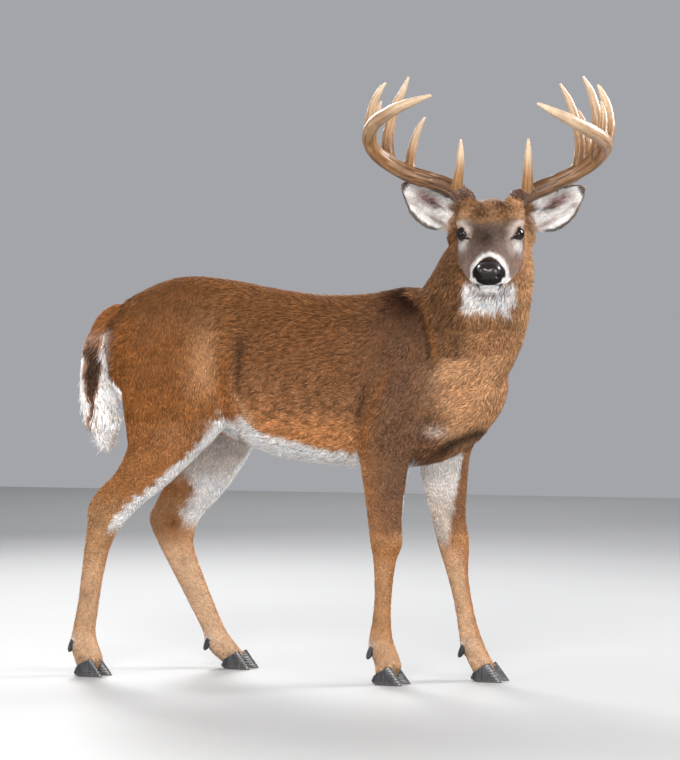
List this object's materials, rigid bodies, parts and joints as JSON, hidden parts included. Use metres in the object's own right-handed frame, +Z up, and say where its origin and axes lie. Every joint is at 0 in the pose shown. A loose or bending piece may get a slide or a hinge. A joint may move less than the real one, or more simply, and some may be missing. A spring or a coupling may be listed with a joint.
{
  "type": "deer",
  "caption": "Life-size white-tailed buck standing still with its head turned to its right, antlers spread wide and tail hanging",
  "frame": {"origin": "on the floor under the middle of the whole animal's bounding box", "axes": "+X the way the body heads, +Y the animal's left, +Z up; the face is turned towards -Y"},
  "size_m": [1.3761, 0.5256, 1.455],
  "materials": {
    "coat": "short matte hair over hide",
    "hoof": "dark horn with a dull polish",
    "eye": "wet and glossy",
    "nose": "moist bare skin",
    "antler": "satin bone, brown at the base and ivory at the tips"
  },
  "bodies": {
    "root": {"antler_left_beam_lower": "antler", "antler_left_beam_middle": "antler", "antler_left_beam_tip": "antler", "antler_left_brow_tine": "antler", "antler_left_fifth_tine": "antler", "antler_left_fourth_tine": "antler", "antler_left_second_side_tine": "antler", "antler_left_second_tine": "antler", "antler_left_third_tine": "antler", "antler_right_beam_lower": "antler", "antler_right_beam_middle": "antler", "antler_right_beam_tip": "antler", "antler_right_brow_tine": "antler", "antler_right_fifth_tine": "antler", "antler_right_fourth_tine": "antler", "antler_right_second_tine": "antler", "antler_right_third_tine": "antler", "dewclaw_foreleg_left_inner": "hoof", "dewclaw_foreleg_left_outer": "hoof", "dewclaw_foreleg_right_inner": "hoof", "dewclaw_foreleg_right_outer": "hoof", "dewclaw_hindleg_left_inner": "hoof", "dewclaw_hindleg_left_outer": "hoof", "dewclaw_hindleg_right_inner": "hoof", "dewclaw_hindleg_right_outer": "hoof", "ear_left": "coat", "ear_right": "coat", "eye_left": "eye", "eye_right": "eye", "foreleg_left_lower": "coat", "foreleg_left_upper": "coat", "foreleg_right_lower": "coat", "foreleg_right_upper": "coat", "head": "coat", "hindleg_left_lower": "coat", "hindleg_left_upper": "coat", "hindleg_right_lower": "coat", "hindleg_right_upper": "coat", "hoof_foreleg_left_inner": "hoof", "hoof_foreleg_left_outer": "hoof", "hoof_foreleg_right_inner": "hoof", "hoof_foreleg_right_outer": "hoof", "hoof_hindleg_left_inner": "hoof", "hoof_hindleg_left_outer": "hoof", "hoof_hindleg_right_inner": "hoof", "hoof_hindleg_right_outer": "hoof", "neck": "coat", "nose": "nose", "tail": "coat", "trunk": "coat"}
  },
  "joints": []
}
